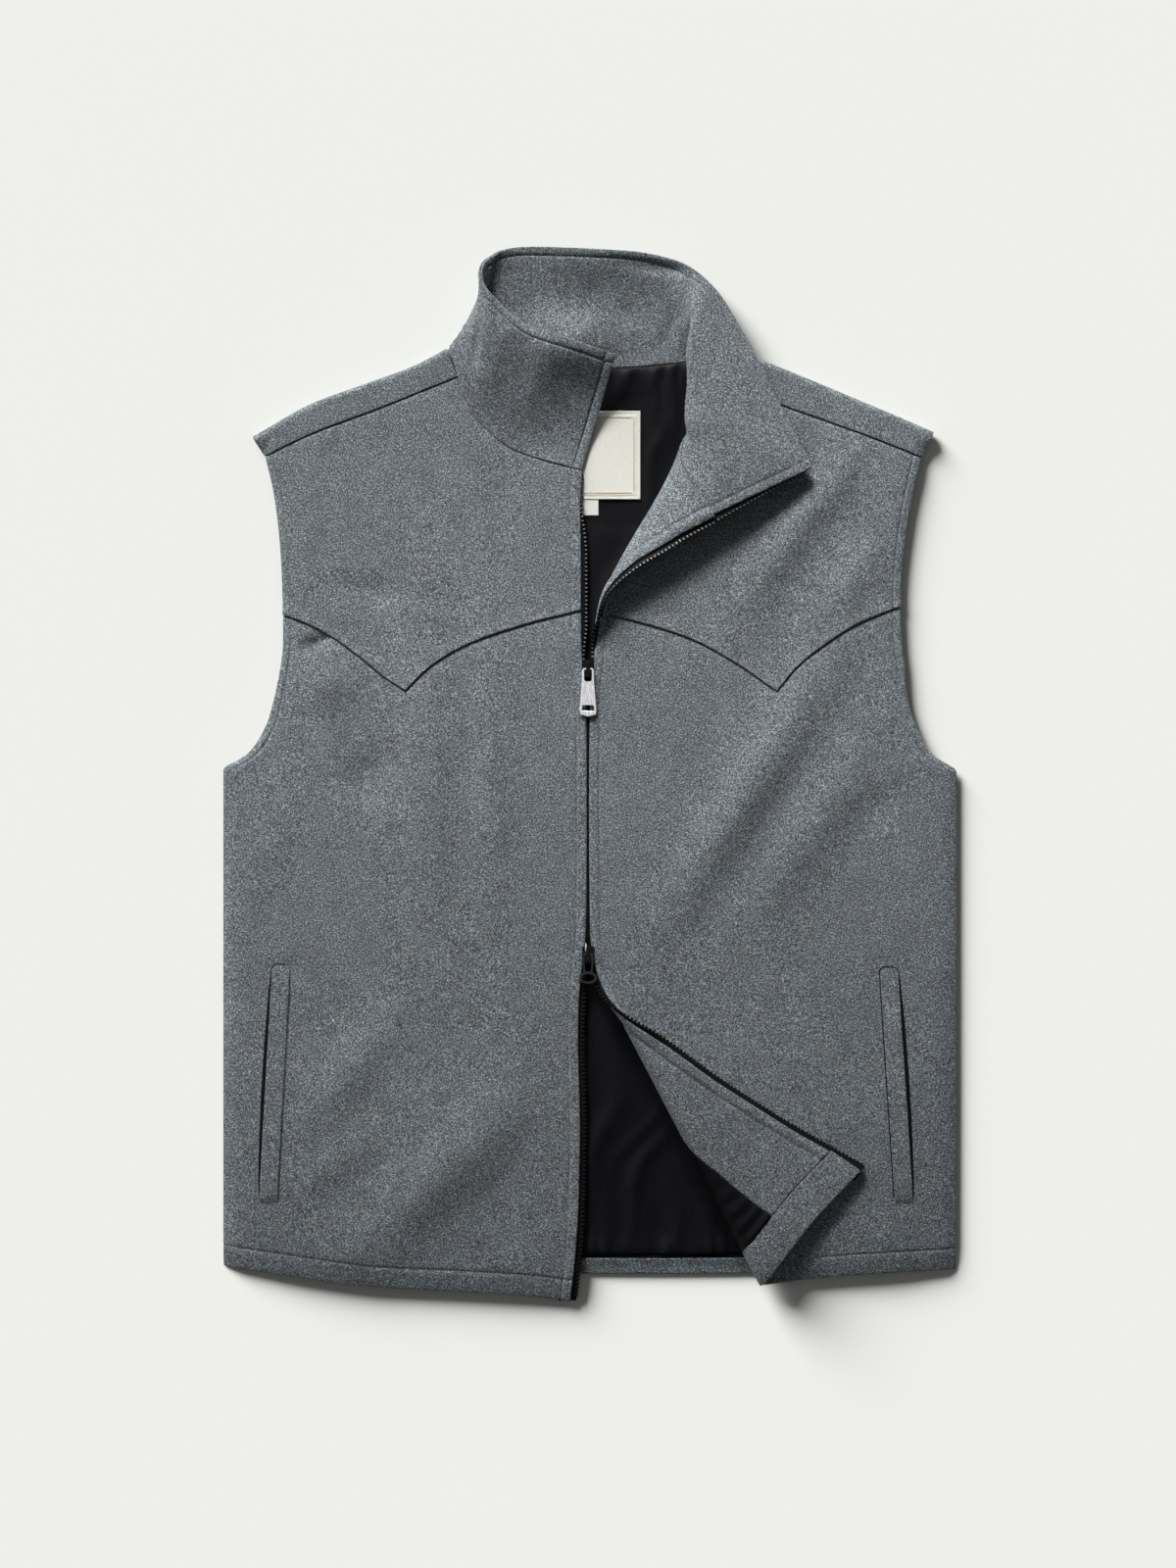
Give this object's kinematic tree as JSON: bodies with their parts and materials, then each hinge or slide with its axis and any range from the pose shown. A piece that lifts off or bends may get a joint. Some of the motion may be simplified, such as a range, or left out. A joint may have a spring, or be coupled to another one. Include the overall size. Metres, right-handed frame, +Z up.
{
  "type": "wool vest laid flat",
  "caption": "Sleeveless zip-front wool vest with pointed yokes, a stand-up collar and welt pockets, lying flat with one lapel and one lower corner turned back.",
  "frame": {"origin": "on the surface the vest lies on, under the middle of its bounding box", "axes": "+X to the right seen from above, +Y from the hem towards the collar, +Z up from the surface"},
  "size_m": [0.5606, 0.805, 0.0361],
  "materials": {
    "wool": "matt grey heathered felted wool",
    "satin": "black satin lining",
    "label_tape": "cream woven tape",
    "zip_tape": "black zip tape with teeth",
    "zip_slider": "black enamelled metal",
    "silver_pull": "brushed silver metal",
    "dark_pull": "dark grey plated metal"
  },
  "bodies": {
    "vest": {"back_panel": "wool", "back_hem_band": "wool", "back_lining": "satin", "label": "label_tape", "size_tab": "label_tape", "front_left_body": "wool", "front_left_yoke": "wool", "front_right_body": "wool", "front_right_yoke": "wool", "facing_right": "wool", "hem_band_right": "wool", "lining_right": "satin", "collar_outer": "wool", "collar_inner": "wool", "pocket_welt_left": "wool", "pocket_welt_right": "wool", "zip_tape_left": "zip_tape", "zip_tape_right": "zip_tape", "zip_slider_upper": "zip_slider", "zip_slider_lower": "zip_slider"},
    "upper_pull": {"zip_pull_upper": "silver_pull"},
    "lower_pull": {"zip_pull_lower": "dark_pull"}
  },
  "joints": [
    {"name": "upper_pull_hinge", "type": "hinge", "parent": "vest", "child": "upper_pull", "pos_m": [-0.0015, 0.0795, 0.0115], "axis": [-1, 0, 0], "range_deg": [0, 120]},
    {"name": "lower_pull_hinge", "type": "hinge", "parent": "vest", "child": "lower_pull", "pos_m": [-0.0015, -0.138, 0.0115], "axis": [-1, 0, 0], "range_deg": [0, 120]}
  ]
}
